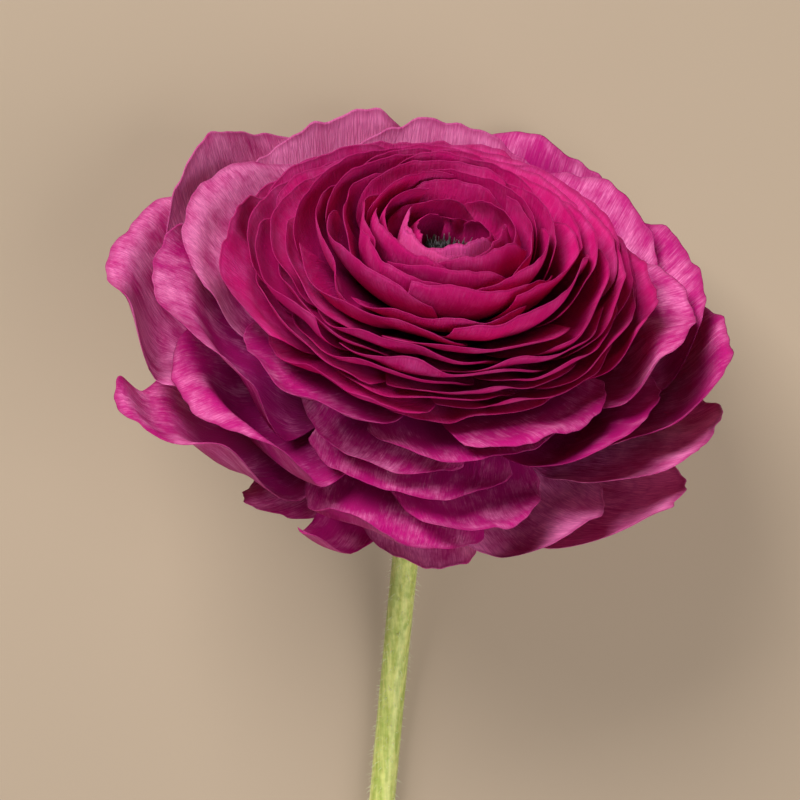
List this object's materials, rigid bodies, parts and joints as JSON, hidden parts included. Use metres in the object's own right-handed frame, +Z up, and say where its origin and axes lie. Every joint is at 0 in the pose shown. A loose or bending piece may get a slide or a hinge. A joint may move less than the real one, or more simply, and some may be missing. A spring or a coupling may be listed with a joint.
{
  "type": "persian buttercup flower",
  "caption": "Double Persian buttercup bloom in magenta pink with a dark eye, on a short cut green stem, laid down.",
  "frame": {"origin": "centre of the footprint's bounding box, on the surface that the flower lies on", "axes": "+Y along the stem from the cut end to the bloom, +Z up from the surface, +X to the right of the bloom; the bloom faces up and towards +Y"},
  "size_m": [0.1006, 0.1854, 0.0645],
  "materials": {
    "petal_heart": "matt, soft sheen, magenta red",
    "petal_outer": "matt, soft sheen, purplish pink with fine veins",
    "sepal": "matt green",
    "stem": "matt yellow green with fine hairs",
    "carpels": "matt, nearly black",
    "stamens": "matt, dark purple grey"
  },
  "bodies": {
    "root": {"carpel_cone": "carpels", "petal_00": "petal_heart", "petal_03": "petal_heart", "petal_06": "petal_heart", "petal_09": "petal_heart", "petal_12": "petal_heart", "petal_15": "petal_heart", "petal_18": "petal_heart", "petal_21": "petal_heart", "petal_24": "petal_heart", "petal_27": "petal_heart", "petal_30": "petal_heart", "petal_33": "petal_heart", "petal_36": "petal_heart", "petal_39": "petal_heart", "petal_42": "petal_heart", "petal_45": "petal_heart", "petal_48": "petal_heart", "petal_51": "petal_heart", "petal_54": "petal_heart", "petal_57": "petal_heart", "petal_60": "petal_heart", "petal_63": "petal_heart", "petal_66": "petal_heart", "petal_69": "petal_heart", "petal_72": "petal_outer", "petal_73": "petal_outer", "petal_74": "petal_outer", "petal_75": "petal_outer", "petal_76": "petal_outer", "petal_77": "petal_outer", "petal_78": "petal_outer", "petal_79": "petal_outer", "petal_80": "petal_outer", "petal_81": "petal_outer", "petal_82": "petal_outer", "petal_83": "petal_outer", "petal_84": "petal_outer", "petal_85": "petal_outer", "petal_86": "petal_outer", "petal_87": "petal_outer", "petal_88": "petal_outer", "petal_89": "petal_outer", "petal_90": "petal_outer", "petal_91": "petal_outer", "petal_92": "petal_outer", "petal_93": "petal_outer", "petal_94": "petal_outer", "petal_95": "petal_outer", "petal_96": "petal_outer", "petal_97": "petal_outer", "petal_98": "petal_outer", "petal_99": "petal_outer", "sepal_0": "sepal", "sepal_1": "sepal", "sepal_2": "sepal", "sepal_3": "sepal", "sepal_4": "sepal", "stamens": "stamens", "stem": "stem"}
  },
  "joints": []
}
